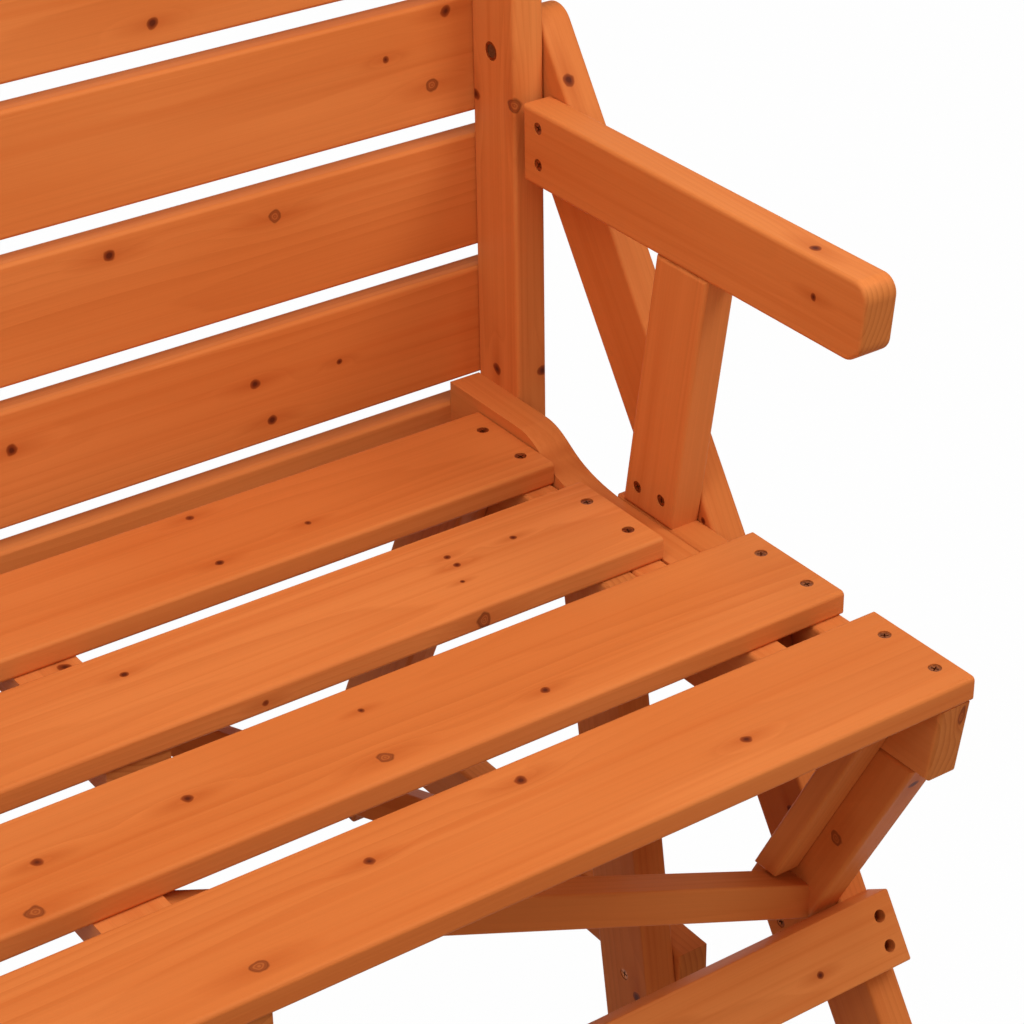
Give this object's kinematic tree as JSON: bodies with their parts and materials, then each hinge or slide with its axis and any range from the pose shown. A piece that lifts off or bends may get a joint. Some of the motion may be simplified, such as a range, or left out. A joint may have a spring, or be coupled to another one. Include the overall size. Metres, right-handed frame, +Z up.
{
  "type": "convertible picnic table bench",
  "caption": "Wooden garden bench with arms and a slatted back that swings forward over the seat to become a picnic table top while the rear half of the seat moves out behind it.",
  "frame": {"origin": "on the ground, in the middle of the length and of the depth", "axes": "+X to the right along the bench as seen from the front, +Y to the back, +Z up; a sitter faces -Y"},
  "size_m": [1.4, 0.6717, 0.842],
  "materials": {
    "stained_fir": "satin stain",
    "screw_steel": "zinc",
    "bolt_steel": "zinc"
  },
  "bodies": {
    "front_frame": {"right_long_leg": "stained_fir", "left_long_leg": "stained_fir", "right_front_seat_rail": "stained_fir", "left_front_seat_rail": "stained_fir", "right_arm": "stained_fir", "left_arm": "stained_fir", "right_arm_support": "stained_fir", "left_arm_support": "stained_fir", "right_diagonal_brace": "stained_fir", "left_diagonal_brace": "stained_fir", "right_brace_cleat": "stained_fir", "left_brace_cleat": "stained_fir", "right_long_brace": "stained_fir", "left_long_brace": "stained_fir", "right_front_seat_batten": "stained_fir", "left_front_seat_batten": "stained_fir", "front_stretcher": "stained_fir", "front_stretcher_bolts": "bolt_steel", "front_seat_slat_1": "stained_fir", "front_seat_slat_2": "stained_fir", "front_seat_slat_screws": "screw_steel", "arm_screws": "screw_steel", "support_screws": "screw_steel", "brace_screws": "screw_steel"},
    "back_rest": {"right_back_batten": "stained_fir", "left_back_batten": "stained_fir", "right_seat_bracket": "stained_fir", "left_seat_bracket": "stained_fir", "right_back_pivot_bolt": "bolt_steel", "left_back_pivot_bolt": "bolt_steel", "back_slat_1": "stained_fir", "back_slat_2": "stained_fir", "back_slat_3": "stained_fir", "back_slat_4": "stained_fir", "back_slat_5": "stained_fir", "back_middle_batten": "stained_fir", "back_slat_screws": "screw_steel", "bracket_screws": "screw_steel", "back_pivot_nuts": "bolt_steel"},
    "rear_seat": {"right_rear_seat_rail": "stained_fir", "left_rear_seat_rail": "stained_fir", "right_rear_front_leg": "stained_fir", "left_rear_front_leg": "stained_fir", "right_rear_back_leg": "stained_fir", "left_rear_back_leg": "stained_fir", "right_rear_low_rail": "stained_fir", "left_rear_low_rail": "stained_fir", "right_rear_seat_batten": "stained_fir", "left_rear_seat_batten": "stained_fir", "right_rear_brace": "stained_fir", "left_rear_brace": "stained_fir", "right_seat_link_bolt": "bolt_steel", "left_seat_link_bolt": "bolt_steel", "rear_seat_slat_1": "stained_fir", "rear_seat_slat_2": "stained_fir", "rear_stretcher": "stained_fir", "rear_stretcher_bolts": "bolt_steel", "rear_seat_slat_screws": "screw_steel", "rear_leg_screws": "screw_steel", "seat_link_nuts": "bolt_steel"}
  },
  "joints": [
    {"name": "back_turn", "type": "hinge", "parent": "front_frame", "child": "back_rest", "pos_m": [0, 0.1593, 0.7018], "axis": [1, 0, 0], "range_deg": [0, 90]},
    {"name": "rear_seat_level", "type": "hinge", "parent": "back_rest", "child": "rear_seat", "pos_m": [0, -0.1595, 0.383], "axis": [1, 0, 0], "range_deg": [-90, 0]}
  ],
  "couplings": [
    {"joint": "rear_seat_level", "follows": "back_turn", "ratio": -1}
  ]
}
